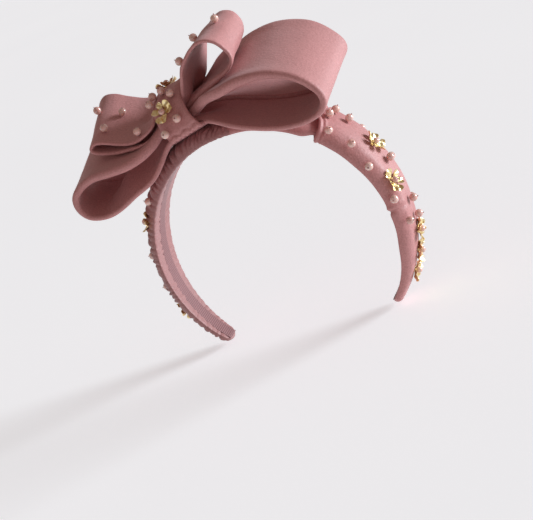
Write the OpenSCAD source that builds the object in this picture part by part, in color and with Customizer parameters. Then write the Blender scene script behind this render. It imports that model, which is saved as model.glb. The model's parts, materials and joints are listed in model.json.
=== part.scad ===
// Fascinator headpiece: padded sprung headband with a stiff double bow.
// Millimetres. The band stands in the XZ plane, its head arc centred on the origin.
// -Y is the front, +X is the wearer's left, +Z is up.

/* [Band] */
// Radius of the arc that sits on the head
head_r = 73.8; // [70:0.2:80]
// Angle of the tips below the horizontal
tip_drop = 43.7; // [35:0.1:46]
// Width of the band at the top
crown_w = 34; // [28:0.5:36]
// Width of the band at the tips
tip_w = 11.6; // [11:0.2:16]
// Width of the lining ribbon
lining_w = 10; // [8:0.5:11]
// Thickness of the lining ribbon
lining_t = 0.6; // [0.4:0.1:0.8]
// Thickness of the sprung core
core_t = 1.6; // [1.2:0.1:2]
// Thickness of the band's fabric
cover_t = 0.8; // [0.6:0.1:1]

/* [Arms] */
// Angle at which the near arm flexes, measured up from +X
right_flex = 53; // [50:0.5:53]
// Angle at which the far arm flexes, measured up from +X
left_flex = 136; // [134:1:138]
// Angle at which the plain wrap meets the ruched fabric
ruche_start = 88; // [84:1:92]
// Length of the hem at the sleeve's upper end
hem_l = 2; // [1.5:0.5:3]

/* [Bow] */
// Thickness of the large loops
large_t = 3.2; // [3:0.1:3.4]
// Thickness of the small loops
small_t = 1.8; // [1.6:0.1:2]
// Outer radius of the knot strip
knot_r = 28; // [27.5:0.1:28.5]
// Width of the knot strip
knot_w = 27.5; // [26:0.5:28]
// Thickness of the knot strip
knot_t = 1.4; // [1:0.1:1.6]

/* [Trims] */
// Angle between the three flowers near the near arm's tip
tip_flower_pitch = 9; // [9:0.5:9.5]
// Radius of a sewn pearl
pearl_r = 2.4; // [2:0.1:2.6]
// Radius of the pearl in a flower
flower_pearl_r = 1.9; // [1.7:0.1:2.1]
// Radius of the hole through a pearl
hole_r = 0.45; // [0.35:0.05:0.5]
// Radius of the sewing thread
thread_r = 0.25; // [0.15:0.05:0.3]
// Width of a flower across its petals
flower_w = 12.6; // [11:0.2:13]
// Thickness of a petal
petal_t = 0.5; // [0.4:0.1:0.6]

/* [Hidden] */
$fn = 48;

rose = [0.78, 0.53, 0.54];
dark_rose = [0.60, 0.38, 0.38];
gold = [0.83, 0.73, 0.50];
blush = [0.93, 0.76, 0.72];

// Layers of the band, outwards from the head.
lining_r = head_r + lining_t;
core_r = lining_r + core_t;
full_arc = 90 + tip_drop;
core_w_ratio = 0.62;
// Slots that let the arms flex: narrow in the core, wide in the padding.
core_slot = 0.3;
pad_slot = 1.3;
// The padding's outer circle: [x, z, radius], tall over the near arm and low under the bow.
pad_right = [1.5, 3.5, 79.5];
pad_low = [0, 1, 78.5];
// Fall of the padding from the band's middle to its edge, at the full width.
dome_drop = 4.5;

// Where the knot sits on the band, and how the bow's middle is built up.
knot_at = 104;
knot_centre = 82;
base_r = 81.4;
knot_floor = 83.2;
knot_offset = -1;

// Loop rims, as points from the knot out along the upper strand and back along the lower one.
large_right_front = [
    [-17, -18, 93], [-10, -20, 94.5], [-1, -28, 97], [11, -36, 99.5], [26, -38, 102.5],
    [42, -38, 101.5], [56, -38, 95.5], [65, -38, 86.5], [66.5, -38, 79], [61, -38, 73.5],
    [48, -38, 71.5], [32, -38, 74], [15, -35, 79], [2, -28, 83.5], [-8, -20, 86.5], [-17, -18, 88]];
large_right_back = [
    [-17, 18, 94], [-11, 20, 97], [-5, 29, 103], [4, 36, 109], [18, 38, 113],
    [34, 38, 113.5], [50, 38, 108.5], [61, 38, 98], [64, 38, 90], [58, 38, 84],
    [46, 38, 82], [30, 38, 83.5], [14, 35, 87], [2, 28, 89], [-8, 20, 89], [-17, 18, 89]];
large_left_front = [
    [-28, -18, 88.5], [-36, -20, 85], [-43, -27, 80], [-50, -33, 77], [-58, -37, 75.5],
    [-70, -38, 75], [-80, -38, 74.5], [-89, -38, 71], [-94.5, -38, 66], [-95, -38, 59],
    [-90, -38, 53], [-80, -38, 51], [-70, -37, 52.5], [-60, -34, 57], [-50, -29, 63.5],
    [-42, -23, 72], [-35, -19, 80.5], [-28, -18, 84]];
large_left_back = [
    [-28, 18, 89.5], [-36, 20, 88], [-43, 27, 88.5], [-50, 33, 89.5], [-58, 37, 91],
    [-70, 38, 92], [-82, 38, 92.5], [-93, 38, 91.5], [-100, 38, 88.5], [-102, 38, 82.5],
    [-98, 38, 76], [-88, 38, 72.5], [-76, 37, 72.5], [-64, 34, 74.5], [-53, 29, 77.5],
    [-43, 23, 80.5], [-35, 19, 83], [-28, 18, 84.5]];
small_right_front = [
    [-18, -12, 100], [-12.5, -15, 101.5], [-11, -22, 108], [-7, -25, 118], [1, -25, 125],
    [9, -25, 127.5], [16, -25, 125], [20.5, -25, 118.5], [21, -25, 113], [17, -25, 108.5],
    [9.5, -24, 105], [1, -20, 102], [-8, -15, 99], [-16, -13, 96.5]];
small_right_back = [
    [-18, 12, 101], [-12, 14, 103.5], [-11, 21, 111], [-8, 25, 121], [-2, 25, 128.5],
    [6, 25, 132.5], [13, 25, 130.5], [16, 25, 124.5], [14.5, 25, 118.5], [9, 25, 114],
    [2, 25, 111], [-5, 21, 107.5], [-11, 15, 101.5], [-16, 13, 98]];
small_left_front = [
    [-30, -11, 99.5], [-36, -14, 97], [-41.5, -21, 91.5], [-47, -24, 87], [-54, -25, 85.5],
    [-62, -25, 87], [-70, -25, 90], [-75.5, -25, 91], [-79, -25, 89], [-78, -25, 86.3],
    [-71, -25, 83.8], [-63, -25, 82.2], [-55, -25, 82], [-47, -23, 84], [-40, -19, 88],
    [-35, -14, 92.5], [-30, -11, 95.8]];
small_left_back = [
    [-30, 11, 99.5], [-37, 14, 97.2], [-44, 21, 97], [-52, 24, 97.5], [-60, 25, 99],
    [-68, 25, 102.5], [-76, 25, 106.5], [-83, 25, 107], [-88, 25, 103], [-86, 25, 99],
    [-77, 25, 97.5], [-68, 25, 96.5], [-59, 25, 95.5], [-50, 23, 94.7], [-42, 19, 94.5],
    [-36, 14, 95], [-30, 11, 96.5]];
rings = 34;

// Trims on the arms: [angle, distance to the back of the band's middle].
flowers_right = concat(
    [[29, 0], [14, -10]],
    [for (i = [0:2]) [-11 - tip_flower_pitch * i, 2]]);
flowers_left = [[153, -13], [176, 5], [200, 1]];
pearls_right = [[49, -4], [48, 4], [46, -16], [42, 2], [36, -15.5], [21, -1], [3, -1], [-3, -12], [-4, 0]];
pearls_left = [[143, -14], [162, 9], [172, -3], [187, -2], [190, 6], [209, 2]];
// Trims on the near arm's side walls: [angle, distance from the head's centre].
pearls_front = [[25, 79], [8, 79]];
pearls_back = [[36, 78], [19, 79], [0, 78.5]];
// Trims on the knot: [angle down from its top towards the front, distance along the bow].
flowers_knot = [[50, -4.5], [-14.5, -7.5]];
knot_pearls = [[20, -4], [33.5, 3], [20.5, -10.5], [31, -12.5], [66, 3], [74, -8]];
// Trims on the small loops: [share of the way round, share of the way across].
pearls_up = [[0.41, 0.55], [0.28, 0.55], [0.23, 0.15]];
pearls_flat = [[0.44, 0.62], [0.32, 0.57], [0.38, 0.22], [0.19, 0.06]];

// ---- Curves ----
function unit(v) = v / norm(v);
function mix(a, b, f) = a * (1 - f) + b * f;
// Smooth curve through the points P, at t from 0 to 1.
function spline(P, t) =
    let (n = len(P) - 1, s = min(floor(t * n), n - 1), f = t * n - s,
         a = P[max(s - 1, 0)], b = P[s], c = P[s + 1], d = P[min(s + 2, n)])
    0.5 * (2 * b + (c - a) * f + (2 * a - 5 * b + 4 * c - d) * f * f
           + (3 * b - a - 3 * c + d) * f * f * f);
function heading(P, t) = unit(spline(P, min(t + 0.01, 1)) - spline(P, max(t - 0.01, 0)));
function across(F, B, t) = unit(spline(B, t) - spline(F, t));
function facing(P, F, B, t) = unit(cross(heading(P, t), across(F, B, t)));

// ---- Bow loops ----
// One cross-section of a loop: a flat tube with rounded long edges.
function tube_ring(F, B, t, h, c) =
    let (f = spline(F, t), b = spline(B, t), a = across(F, B, t),
         m = facing(F, F, B, t), n = facing(B, F, B, t))
    [f - m * (h - c), f + m * (h - c), f + a * c + m * h, b - a * c + n * h,
     b + n * (h - c), b - n * (h - c), b - a * c - n * h, f + a * c - m * h];
// One cross-section of the flat space or strip inside a loop.
function strip_ring(F, B, t, h, inset) =
    let (f = spline(F, t), b = spline(B, t), a = across(F, B, t),
         m = facing(F, F, B, t), n = facing(B, F, B, t))
    [f + a * inset - m * h, f + a * inset + m * h, b - a * inset + n * h, b - a * inset - n * h];
// Two triangles for each side of each step between rings of k points, from index base.
function walls(k, base, flip) = [
    for (i = [0:rings - 1], j = [0:k - 1])
        let (p = base + i * k + j, q = base + i * k + (j + 1) % k)
        each flip ? [[p, q, q + k], [p, q + k, p + k]] : [[p, q + k, q], [p, p + k, q + k]]];
// The fabric of a loop: a hollow tube, open at both ends.
module loop_fabric(F, B, thick, wall, inset) {
    outer = [for (i = [0:rings]) each tube_ring(F, B, i / rings, thick / 2, thick * 0.3)];
    inner = [for (i = [0:rings]) each strip_ring(F, B, i / rings, thick / 2 - wall, inset)];
    n = len(outer);
    rim = [[0, 1, n + 1], [0, n + 1, n], [1, 2, n + 1], [2, 3, n + 2], [2, n + 2, n + 1], [3, 4, n + 2],
           [4, 5, n + 3], [4, n + 3, n + 2], [5, 6, n + 3], [6, 7, n], [6, n, n + 3], [7, 0, n]];
    last = [for (f = rim) [for (p = [f[0], f[2], f[1]]) p < n ? p + rings * 8 : p + rings * 4]];
    polyhedron(concat(outer, inner), concat(walls(8, 0, false), walls(4, n, true), rim, last));
}
// The interfacing strip inside a loop, just clear of its fabric.
module loop_stiffener(F, B, thick, wall, inset) {
    pts = [for (i = [0:rings]) each strip_ring(F, B, i / rings, thick / 2 - wall - 0.1, inset + 0.3)];
    e = rings * 4;
    ends = [[0, 1, 2], [0, 2, 3], [e, e + 2, e + 1], [e, e + 3, e + 2]];
    polyhedron(pts, concat(walls(4, 0, false), ends));
}

// ---- Band ----
function band_w(a, wide, narrow) =
    narrow + (wide - narrow) * pow(max(cos(90 * abs(a - 90) / full_arc), 0), 0.8);
// Everything between two angles of the arc.
module sector(from, to) {
    far = 160;
    steps = 4;
    rotate([90, 0, 0]) linear_extrude(100, center = true)
        polygon(concat([[0, 0]], [for (i = [0:steps])
            let (a = mix(from, to, i / steps)) far * [cos(a), sin(a)]]));
}
// Everything within the band's tapering outline, seen from the side.
module outline(wide, narrow) {
    side = [for (a = [-tip_drop:9.55:91]) [band_w(a, wide, narrow) / 2, head_r * sin(a)]];
    top = [[wide / 2, head_r + 30]];
    bottom = [[narrow / 2, -head_r - 30]];
    half = concat(bottom, side, top);
    flip = [for (i = [len(half) - 1:-1:0]) [-half[i][0], half[i][1]]];
    rotate([90, 0, 90]) linear_extrude(260, center = true) polygon(concat(half, flip));
}
// Everything inside the domed padding circle c, grown by extra.
module dome(c, extra) {
    w = crown_w / 2;
    steps = 4;
    r = c[2] + extra;
    arc = [for (i = [-steps:steps]) [r - dome_drop * pow(i / steps, 2), w * i / steps]];
    edge = r - dome_drop - 1;
    translate([c[0], 0, c[1]]) rotate([90, 0, 0]) rotate_extrude($fn = 90)
        polygon(concat([[0, -w - 3], [edge, -w - 3]], arc, [[edge, w + 3], [0, w + 3]]));
}
module disc(r, w) rotate([90, 0, 0]) cylinder(h = w, r = r, center = true, $fn = 120);
// The band's whole body between two angles, from the lining out.
module band_body(from, to, c, extra) {
    difference() {
        intersection() {
            sector(from, to);
            outline(crown_w + 2 * extra, tip_w + 2 * extra);
            dome(c, extra);
        }
        disc(lining_r, 80);
    }
}
// The sprung core's ring, all the way round.
module core_ring() {
    difference() {
        intersection() {
            outline(crown_w * core_w_ratio, tip_w * core_w_ratio);
            disc(core_r, 60);
        }
        disc(lining_r, 80);
    }
}
module core_body(from, to) {
    color("white") intersection() {
        sector(from, to);
        core_ring();
    }
}
module lining_body(from, to) {
    color(dark_rose) intersection() {
        sector(from, to);
        difference() {
            disc(lining_r, lining_w);
            disc(head_r, 80);
        }
    }
}
module foam_body(from, to, c) {
    color("ivory") difference() {
        band_body(from, to, c, 0);
        core_ring();
    }
}
module cover_body(from, to, c) {
    color(rose) difference() {
        band_body(from, to, c, cover_t);
        band_body(from - 1, to + 1, c, 0);
    }
}
// The end of an arm: its fabric folded over the core and stitched.
module tip_body(from, to, c) {
    color(rose) band_body(from, to, c, cover_t);
}
module lining_crown() lining_body(right_flex, left_flex);
module lining_right() lining_body(-tip_drop, right_flex - core_slot);
module lining_left() lining_body(left_flex + core_slot, 180 + tip_drop);
module core_crown() core_body(right_flex, left_flex);
module core_right() core_body(-tip_drop, right_flex - core_slot);
module core_left() core_body(left_flex + core_slot, 180 + tip_drop);
module foam_crown() foam_body(right_flex, left_flex, pad_low);
module foam_right() foam_body(-tip_drop, right_flex - pad_slot, pad_right);
module foam_left() foam_body(left_flex + pad_slot, 180 + tip_drop, pad_low);
module centre_wrap() cover_body(right_flex, ruche_start, pad_low);
module ruched_cover_crown() cover_body(ruche_start, left_flex, pad_low);
module ruched_cover_left() cover_body(left_flex + pad_slot, 180 + tip_drop, pad_low);
module sleeve_right() cover_body(-tip_drop, right_flex - pad_slot, pad_right);
// The hem lies on the sleeve's upper end as a second layer.
module sleeve_hem() {
    top = right_flex - pad_slot;
    hem_angle = hem_l / pad_right[2] * 180 / PI;
    color(rose) difference() {
        band_body(top - hem_angle, top, pad_right, 2 * cover_t);
        band_body(top - hem_angle - 1, top + 1, pad_right, cover_t);
    }
}
module tip_fold_right() tip_body(-tip_drop - 1.2, -tip_drop, pad_right);
module tip_fold_left() tip_body(180 + tip_drop, 181.2 + tip_drop, pad_low);

// ---- Knot ----
// Moves a shape from [along the bow, forwards, up off the band] to the knot's place.
module at_knot() rotate([0, 90 - knot_at, 0]) children();
// The knot's arch, cut flat underneath.
module arch(r, floor_z, w) {
    intersection() {
        translate([knot_offset, 0, knot_centre]) rotate([0, 90, 0])
            cylinder(h = w, r = r, center = true, $fn = 96);
        translate([knot_offset, 0, floor_z + 50]) cube([w, 100, 100], center = true);
    }
}
module bow_base() {
    color(dark_rose) at_knot() translate([knot_offset, 0, (base_r + knot_floor) / 2])
        cube([knot_w - 2, 30, knot_floor - base_r], center = true);
}
module knot_strip() {
    color(rose) at_knot() difference() {
        arch(knot_r, knot_floor, knot_w);
        arch(knot_r - knot_t, knot_floor + knot_t, knot_w + 10);
    }
}
module knot_padding() {
    color("ivory") at_knot() translate([0.5, 0, 0]) intersection() {
        arch(knot_r - knot_t - 0.2, knot_floor + knot_t, knot_w);
        translate([-1.2, 0, 100]) cube([6, 90, 90], center = true);
    }
}

// ---- Loops of the bow ----
module large_loop_right() color(rose)
    loop_fabric(large_right_front, large_right_back, large_t, 1, 2);
module large_loop_left() color(rose)
    loop_fabric(large_left_front, large_left_back, large_t, 1, 2);
module small_loop_right() color(rose)
    loop_fabric(small_right_front, small_right_back, small_t, 0.5, 1.2);
module small_loop_left() color(rose)
    loop_fabric(small_left_front, small_left_back, small_t, 0.5, 1.2);
module large_stiffener_right() color("white")
    loop_stiffener(large_right_front, large_right_back, large_t, 1, 2);
module large_stiffener_left() color("white")
    loop_stiffener(large_left_front, large_left_back, large_t, 1, 2);
module small_stiffener_right() color("white")
    loop_stiffener(small_right_front, small_right_back, small_t, 0.5, 1.2);
module small_stiffener_left() color("white")
    loop_stiffener(small_left_front, small_left_back, small_t, 0.5, 1.2);

// ---- Places for the trims ----
// Puts a shape on the band's fabric at [angle, y], its +Z outwards.
module on_band(p, c, lift) {
    half = crown_w / 2;
    shift = c[0] * cos(p[0]) + c[1] * sin(p[0]);
    reach = c[2] + cover_t - dome_drop * pow(p[1] / half, 2) + shift;
    tilt = atan(2 * dome_drop * p[1] / half / half);
    rotate([0, -p[0], 0]) translate([reach, p[1], 0]) rotate([0, 0, tilt]) rotate([0, 90, 0])
        translate([0, 0, lift]) children();
}
// Puts a shape on the band's side wall at [angle, radius], side -1 for front and 1 for back.
module on_side(p, side, lift) {
    half = band_w(asin(p[1] * sin(p[0]) / head_r), crown_w, tip_w) / 2 + cover_t;
    rotate([0, -p[0], 0]) translate([p[1], side * (half + lift), 0]) rotate([-90 * side, 0, 0])
        children();
}
// Puts a shape on the knot strip at [angle from the top, distance along the bow].
module on_knot(p, lift) {
    at_knot() translate([p[1], 0, knot_centre]) rotate([p[0], 0, 0])
        translate([0, 0, knot_r + lift]) children();
}
// Puts a shape on a loop at [share round, share across], its +Z outwards on the given side.
module on_loop(p, F, B, side, lift) {
    f = spline(F, p[0]);
    b = spline(B, p[0]);
    m = mix(facing(F, F, B, p[0]), facing(B, F, B, p[0]), p[1]) * side;
    place = mix(f, b, p[1]) + unit(m) * (small_t / 2 + lift);
    lean = acos(unit(m)[2]);
    turn = atan2(m[1], m[0]);
    translate(place) rotate([0, lean, turn]) children();
}

// ---- Pearls, flowers and threads ----
// Clearance under each trim, and the height of a flower's boss.
gap = 0.1;
boss_h = petal_t + 0.2;
flower_top = boss_h + gap;
module pearl(r) {
    translate([0, 0, r]) difference() {
        sphere(r = r, $fn = 40);
        cylinder(h = 3 * r, r = hole_r, center = true, $fn = 24);
    }
}
module thread(r) cylinder(h = 2 * r + 0.6, r = thread_r, $fn = 16);
// Three petals of two round lobes each, on a raised boss drilled for the thread.
module flower() {
    lobe_r = flower_w * 0.2;
    boss_r = flower_w * 0.17;
    color(gold) difference() {
        union() {
            for (i = [0:2], s = [-1, 1])
                rotate([0, 0, 120 * i + 27 * s]) translate([flower_w / 2 - lobe_r, 0, 0])
                    cylinder(h = petal_t, r = lobe_r);
            cylinder(h = boss_h, r = boss_r);
        }
        cylinder(h = 10, r = hole_r, center = true, $fn = 24);
    }
}
module flower_on_right(i) on_band(flowers_right[i], pad_right, gap) rotate([0, 0, 40 * i]) flower();
module flower_on_left(i) on_band(flowers_left[i], pad_low, gap) rotate([0, 0, 50 * i]) flower();
module flower_knot_front() on_knot(flowers_knot[0], gap) rotate([0, 0, 20]) flower();
module flower_knot_top() on_knot(flowers_knot[1], gap) rotate([0, 0, 70]) flower();
module flower_right_1() flower_on_right(0);
module flower_right_2() flower_on_right(1);
module flower_right_3() flower_on_right(2);
module flower_right_4() flower_on_right(3);
module flower_right_5() flower_on_right(4);
module flower_left_1() flower_on_left(0);
module flower_left_2() flower_on_left(1);
module flower_left_3() flower_on_left(2);
module pearls_knot() color(blush)
    for (p = knot_pearls) on_knot(p, gap) pearl(pearl_r);
module pearls_small_loop_right() color(blush)
    for (p = pearls_up) on_loop(p, small_right_front, small_right_back, 1, gap) pearl(pearl_r);
module pearls_small_loop_left() color(blush)
    for (p = pearls_flat) on_loop(p, small_left_front, small_left_back, -1, gap) pearl(pearl_r);
module pearls_right_arm() color(blush) {
    for (p = pearls_right) on_band(p, pad_right, gap) pearl(pearl_r);
    for (p = pearls_front) on_side(p, -1, gap) pearl(pearl_r);
    for (p = pearls_back) on_side(p, 1, gap) pearl(pearl_r);
}
module pearls_left_arm() color(blush)
    for (p = pearls_left) on_band(p, pad_low, gap) pearl(pearl_r);
module flower_pearls_knot() color(blush)
    for (p = flowers_knot) on_knot(p, gap + flower_top) pearl(flower_pearl_r);
module flower_pearls_right_arm() color(blush)
    for (p = flowers_right) on_band(p, pad_right, gap + flower_top) pearl(flower_pearl_r);
module flower_pearls_left_arm() color(blush)
    for (p = flowers_left) on_band(p, pad_low, gap + flower_top) pearl(flower_pearl_r);
module threads_bow() color(dark_rose) {
    for (p = knot_pearls) on_knot(p, gap) thread(pearl_r);
    for (p = pearls_up) on_loop(p, small_right_front, small_right_back, 1, gap) thread(pearl_r);
    for (p = pearls_flat) on_loop(p, small_left_front, small_left_back, -1, gap) thread(pearl_r);
}
module threads_right_arm() color(dark_rose) {
    for (p = pearls_right) on_band(p, pad_right, gap) thread(pearl_r);
    for (p = pearls_front) on_side(p, -1, gap) thread(pearl_r);
    for (p = pearls_back) on_side(p, 1, gap) thread(pearl_r);
}
module threads_left_arm() color(dark_rose)
    for (p = pearls_left) on_band(p, pad_low, gap) thread(pearl_r);

lining_crown();
lining_right();
lining_left();
core_crown();
core_right();
core_left();
foam_crown();
foam_right();
foam_left();
centre_wrap();
ruched_cover_crown();
ruched_cover_left();
sleeve_right();
sleeve_hem();
tip_fold_right();
tip_fold_left();
bow_base();
knot_padding();
knot_strip();
large_loop_right();
large_loop_left();
small_loop_right();
small_loop_left();
large_stiffener_right();
large_stiffener_left();
small_stiffener_right();
small_stiffener_left();
flower_knot_front();
flower_knot_top();
flower_right_1();
flower_right_2();
flower_right_3();
flower_right_4();
flower_right_5();
flower_left_1();
flower_left_2();
flower_left_3();
pearls_knot();
pearls_small_loop_right();
pearls_small_loop_left();
pearls_right_arm();
pearls_left_arm();
flower_pearls_knot();
flower_pearls_right_arm();
flower_pearls_left_arm();
threads_bow();
threads_right_arm();
threads_left_arm();
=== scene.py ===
"""Looks of the fascinator headpiece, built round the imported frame.

Shape code works in millimetres, in the frame's own axes, and add_mesh() turns it into metres.
"""

import json
import math
import random

import bpy
import numpy as np
from mathutils import Matrix, Vector, noise


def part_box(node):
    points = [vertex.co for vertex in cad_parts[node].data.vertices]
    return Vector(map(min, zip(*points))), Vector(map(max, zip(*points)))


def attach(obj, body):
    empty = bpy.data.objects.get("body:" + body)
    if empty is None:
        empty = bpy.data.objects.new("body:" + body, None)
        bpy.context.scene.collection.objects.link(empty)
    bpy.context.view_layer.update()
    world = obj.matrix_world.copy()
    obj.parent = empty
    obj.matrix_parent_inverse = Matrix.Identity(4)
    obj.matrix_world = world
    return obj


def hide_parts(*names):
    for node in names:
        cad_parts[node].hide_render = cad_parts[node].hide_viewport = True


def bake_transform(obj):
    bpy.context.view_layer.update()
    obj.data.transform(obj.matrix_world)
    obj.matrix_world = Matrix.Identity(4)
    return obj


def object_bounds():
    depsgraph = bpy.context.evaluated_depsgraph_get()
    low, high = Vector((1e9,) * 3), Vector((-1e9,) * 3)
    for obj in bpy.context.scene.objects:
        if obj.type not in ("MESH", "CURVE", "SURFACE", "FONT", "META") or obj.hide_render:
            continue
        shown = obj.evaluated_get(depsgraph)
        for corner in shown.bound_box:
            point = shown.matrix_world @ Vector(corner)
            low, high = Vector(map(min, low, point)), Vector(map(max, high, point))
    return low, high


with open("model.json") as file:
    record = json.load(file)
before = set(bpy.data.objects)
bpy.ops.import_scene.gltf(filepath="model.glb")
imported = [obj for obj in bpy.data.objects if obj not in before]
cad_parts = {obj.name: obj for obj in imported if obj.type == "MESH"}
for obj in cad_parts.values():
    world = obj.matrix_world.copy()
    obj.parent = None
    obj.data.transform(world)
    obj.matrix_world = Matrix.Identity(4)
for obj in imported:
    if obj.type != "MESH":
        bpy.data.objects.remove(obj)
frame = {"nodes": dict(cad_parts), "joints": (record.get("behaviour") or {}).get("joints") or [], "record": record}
CAD_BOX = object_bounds()

MM = 0.001
RECORD = frame["record"]
JOINTS = {j["name"]: j for j in frame["joints"]}
MOUNTS = {m["name"]: m for m in RECORD["mounts"]}


# ---------------------------------------------------------------- sizes

def angle_of(point):
    """Angle of a point round the head arc, in degrees up from +X."""
    return math.degrees(math.atan2(point[2], point[0])) % 360


HEAD_R = MOUNTS["head_arc"]["dims"]["r_mm"]
RIGHT_FLEX = angle_of(JOINTS["right_arm_flex"]["pos_m"])
LEFT_FLEX = angle_of(JOINTS["left_arm_flex"]["pos_m"])
TIP_DROP = -math.degrees(math.asin(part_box("lining_right")[0].z / MM / HEAD_R))
RIGHT_TIP = -TIP_DROP
LEFT_TIP = 180 + TIP_DROP
FULL_ARC = 90 + TIP_DROP
CROWN_W = 35.6                    # widths over the fabric
TIP_W = 13.2
LINING_W = 10.0
PAD_IN = HEAD_R + 0.35
PAD_RIGHT = (1.5, 3.5, 80.3)      # x, z and radius of the sleeve's outer circle
PAD_LOW = (0.0, 1.0, 79.3)        # the same for the crown and the far arm
RUCHE_START = 88.0
PAD_GAP = 1.3                     # slot in the padding where an arm flexes, in degrees
ARM_R = 78.0                      # radius halfway up the padding
TIP_ROUND = 5.0                   # length over which a closed end rounds off
# How far the near lower edge hangs, inwards and forwards.
SLEEVE_HANG = (2.2, 1.9)
COVER_HANG = (1.8, 1.5)
CUFF = RIGHT_FLEX + 1.0           # where the sleeve's upper end stops
WRAP_IN_CUFF = 5.5                # how far the plain wrap runs down inside the cuff, in degrees

KNOT_AT = 104.0
KNOT_CENTRE = 82.0
KNOT_R = 28.0
KNOT_FLOOR = 83.4
KNOT_W = 27.5

# Loop rims, from the knot out along the upper strand and back along the lower one.
LARGE_RIGHT = (
    [(-19.5, -18, 88.5), (-10, -20.5, 93.5), (-1, -28, 97), (11, -36, 99.5), (26, -38, 102.5),
     (42, -38, 101.5), (56, -38, 95.5), (65, -38, 86.5), (66.5, -38, 79), (61, -38, 73.5),
     (48, -38, 71.5), (32, -38, 74), (15, -35, 79), (2, -28, 83), (-8.5, -21, 84.5), (-19.5, -19, 86)],
    [(-17, 18, 94), (-11, 20, 97), (-5, 29, 103), (4, 36, 109), (18, 38, 113),
     (34, 38, 113.5), (50, 38, 108.5), (61, 38, 98), (64, 38, 90), (58, 38, 84),
     (46, 38, 82), (30, 38, 83.5), (14, 35, 87), (2, 28, 89), (-8, 20, 89), (-17, 18, 89)])
LARGE_LEFT = (
    [(-26, -18, 88.5), (-36, -20, 85), (-43, -27, 80), (-50, -33, 77), (-58, -37, 75.5),
     (-70, -38, 75), (-80, -38, 74.5), (-89, -38, 71), (-94.5, -38, 66), (-95, -38, 59),
     (-90, -38, 53), (-80, -38, 51), (-70, -37, 52.5), (-60, -34, 56.5), (-48.5, -29, 61),
     (-41.5, -24.5, 67.5), (-34.5, -20.5, 76.5), (-26, -19, 82)],
    [(-28, 18, 89.5), (-36, 20, 88), (-43, 27, 88.5), (-50, 33, 89.5), (-58, 37, 91),
     (-70, 38, 92), (-82, 38, 92.5), (-93, 38, 91.5), (-100, 38, 88.5), (-102, 38, 82.5),
     (-98, 38, 76), (-88, 38, 72.5), (-76, 37, 72.5), (-64, 34, 74.5), (-53, 29, 77.5),
     (-43, 23, 80.5), (-35, 19, 83), (-28, 18, 84.5)])
SMALL_RIGHT = (
    [(-20, -14.5, 94), (-16, -17.5, 100.5), (-11.5, -22.5, 108), (-7, -25, 118), (1, -25, 125),
     (9, -25, 127.5), (16, -25, 125), (20.5, -25, 118.5), (21, -25, 113), (17, -25, 108.5),
     (9.5, -24, 105), (1, -20, 101.5), (-8.5, -15.5, 98), (-19.5, -14.5, 93)],
    [(-18, 12, 101), (-12, 14, 103.5), (-11, 21, 111), (-8, 25, 121), (-2, 25, 128.5),
     (6, 25, 132.5), (13, 25, 130.5), (16, 25, 124.5), (14.5, 25, 118.5), (9, 25, 114),
     (2, 25, 111), (-5, 21, 107.5), (-11, 15, 101.5), (-16, 13, 98)])
SMALL_LEFT = (
    [(-30, -11, 99.5), (-36, -14, 97), (-40.5, -21, 90.5), (-46.5, -24.5, 87), (-54, -25, 85.5),
     (-62, -25, 87), (-70, -25, 90), (-75.5, -25, 91), (-79, -25, 89), (-78, -25, 86.3),
     (-71, -25, 83.8), (-63, -25, 82.2), (-55, -25, 82), (-46.5, -23.5, 82.5), (-40, -20, 85),
     (-34.5, -15, 89.5), (-28, -11, 94)],
    [(-30, 11, 99.5), (-37, 14, 97.2), (-44, 21, 97), (-52, 24, 97.5), (-60, 25, 99),
     (-68, 25, 102.5), (-76, 25, 106.5), (-83, 25, 107), (-88, 25, 103), (-86, 25, 99),
     (-77, 25, 97.5), (-68, 25, 96.5), (-59, 25, 95.5), (-50, 23, 94.7), (-42, 19, 94.5),
     (-36, 14, 95), (-30, 11, 96.5)])


# ---------------------------------------------------------------- helpers

def spline(points, t):
    """Smooth curve through the points at shares t of the way along, as in the CAD."""
    pts = np.array(points, float)
    n = len(pts) - 1
    t = np.clip(np.asarray(t, float), 0, 1) * n
    i = np.minimum(t.astype(int), n - 1)
    f = (t - i)[:, None]
    a, b = pts[np.maximum(i - 1, 0)], pts[i]
    c, d = pts[i + 1], pts[np.minimum(i + 2, n)]
    return 0.5 * (2 * b + (c - a) * f + (2 * a - 5 * b + 4 * c - d) * f**2
                  + (3 * b - a - 3 * c + d) * f**3)


def unit(v):
    return v / np.maximum(np.linalg.norm(v, axis=-1, keepdims=True), 1e-9)


def smoothstep(low, high, x):
    s = np.clip((x - low) / (high - low), 0, 1)
    return s * s * (3 - 2 * s)


def bump_at(x, centre, width):
    """A soft hump of height 1."""
    return np.exp(-((x - centre) / width) ** 2)


def wobble(points, size, seed=0):
    """Smooth noise from about -1 to 1, with features of the given size."""
    flat = np.asarray(points, float).reshape(-1, 3) / size + 17.3 * seed
    values = np.array([noise.noise(Vector(p)) for p in flat])
    return values.reshape(np.shape(points)[:-1]) * 1.6


def wobble_over(a, b, size, seed=0):
    """wobble() over two coordinates of a surface."""
    return wobble(np.stack([a, b, np.zeros_like(a)], -1), size, seed)


def add_mesh(name, points, faces, uvs=None):
    """A smooth-shaded object from points in millimetres. uvs is one pair for each point."""
    mesh = bpy.data.meshes.new(name)
    mesh.from_pydata((np.asarray(points, float) * MM).tolist(), [], [list(f) for f in faces])
    mesh.validate()
    mesh.shade_smooth()
    if uvs is not None:
        layer = mesh.uv_layers.new(name="UVMap")
        loops = np.zeros(len(mesh.loops), int)
        mesh.loops.foreach_get("vertex_index", loops)
        layer.data.foreach_set("uv", (np.asarray(uvs, float)[loops] * MM).ravel())
    obj = bpy.data.objects.new(name, mesh)
    bpy.context.scene.collection.objects.link(obj)
    return obj


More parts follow.
